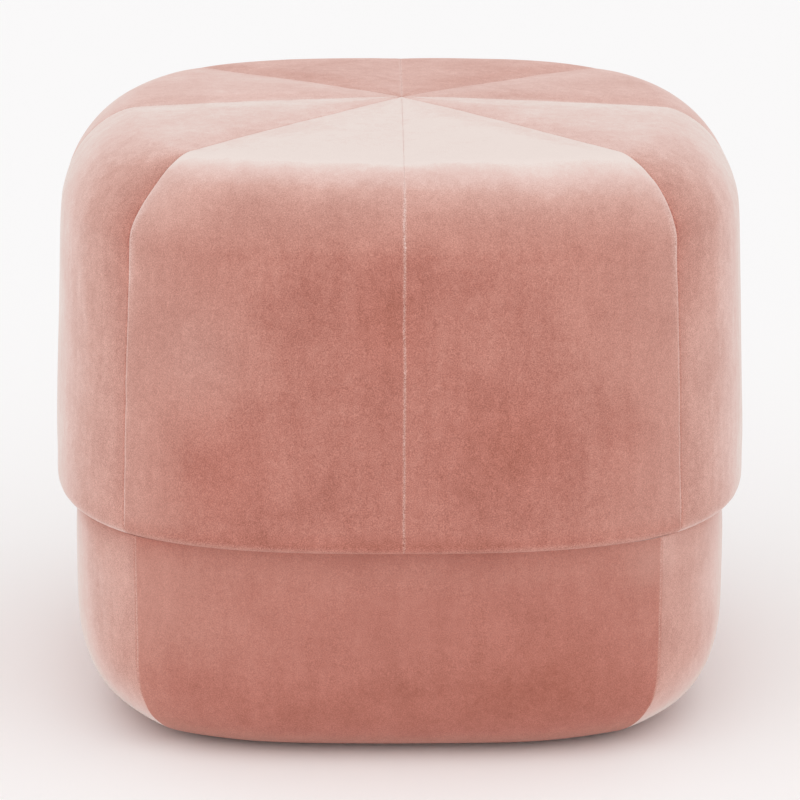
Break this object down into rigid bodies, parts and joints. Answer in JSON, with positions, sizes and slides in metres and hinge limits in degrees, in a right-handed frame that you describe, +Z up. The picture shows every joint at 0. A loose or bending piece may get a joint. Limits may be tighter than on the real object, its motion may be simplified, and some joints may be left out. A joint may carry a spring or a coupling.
{
  "type": "velvet pouf",
  "caption": "Filled velvet pouf with a rounded-square plan: a seamed upper part overhangs a slightly narrower base that rests flat on the floor.",
  "frame": {"origin": "middle of the flat underside, at floor level", "axes": "+Z up, the front faces -Y, +X to the right of a person who looks at the front"},
  "size_m": [0.4506, 0.4506, 0.3869],
  "materials": {
    "velvet": "short-pile velvet, dusty pink, pale where seen aslant",
    "underside": "plain flat cloth"
  },
  "bodies": {
    "root": {"gore_front_right": "velvet", "gore_right_front": "velvet", "gore_right_back": "velvet", "gore_back_right": "velvet", "gore_back_left": "velvet", "gore_left_back": "velvet", "gore_left_front": "velvet", "gore_front_left": "velvet", "base_front": "velvet", "base_right": "velvet", "base_back": "velvet", "base_left": "velvet", "bottom_panel": "underside"}
  },
  "joints": []
}
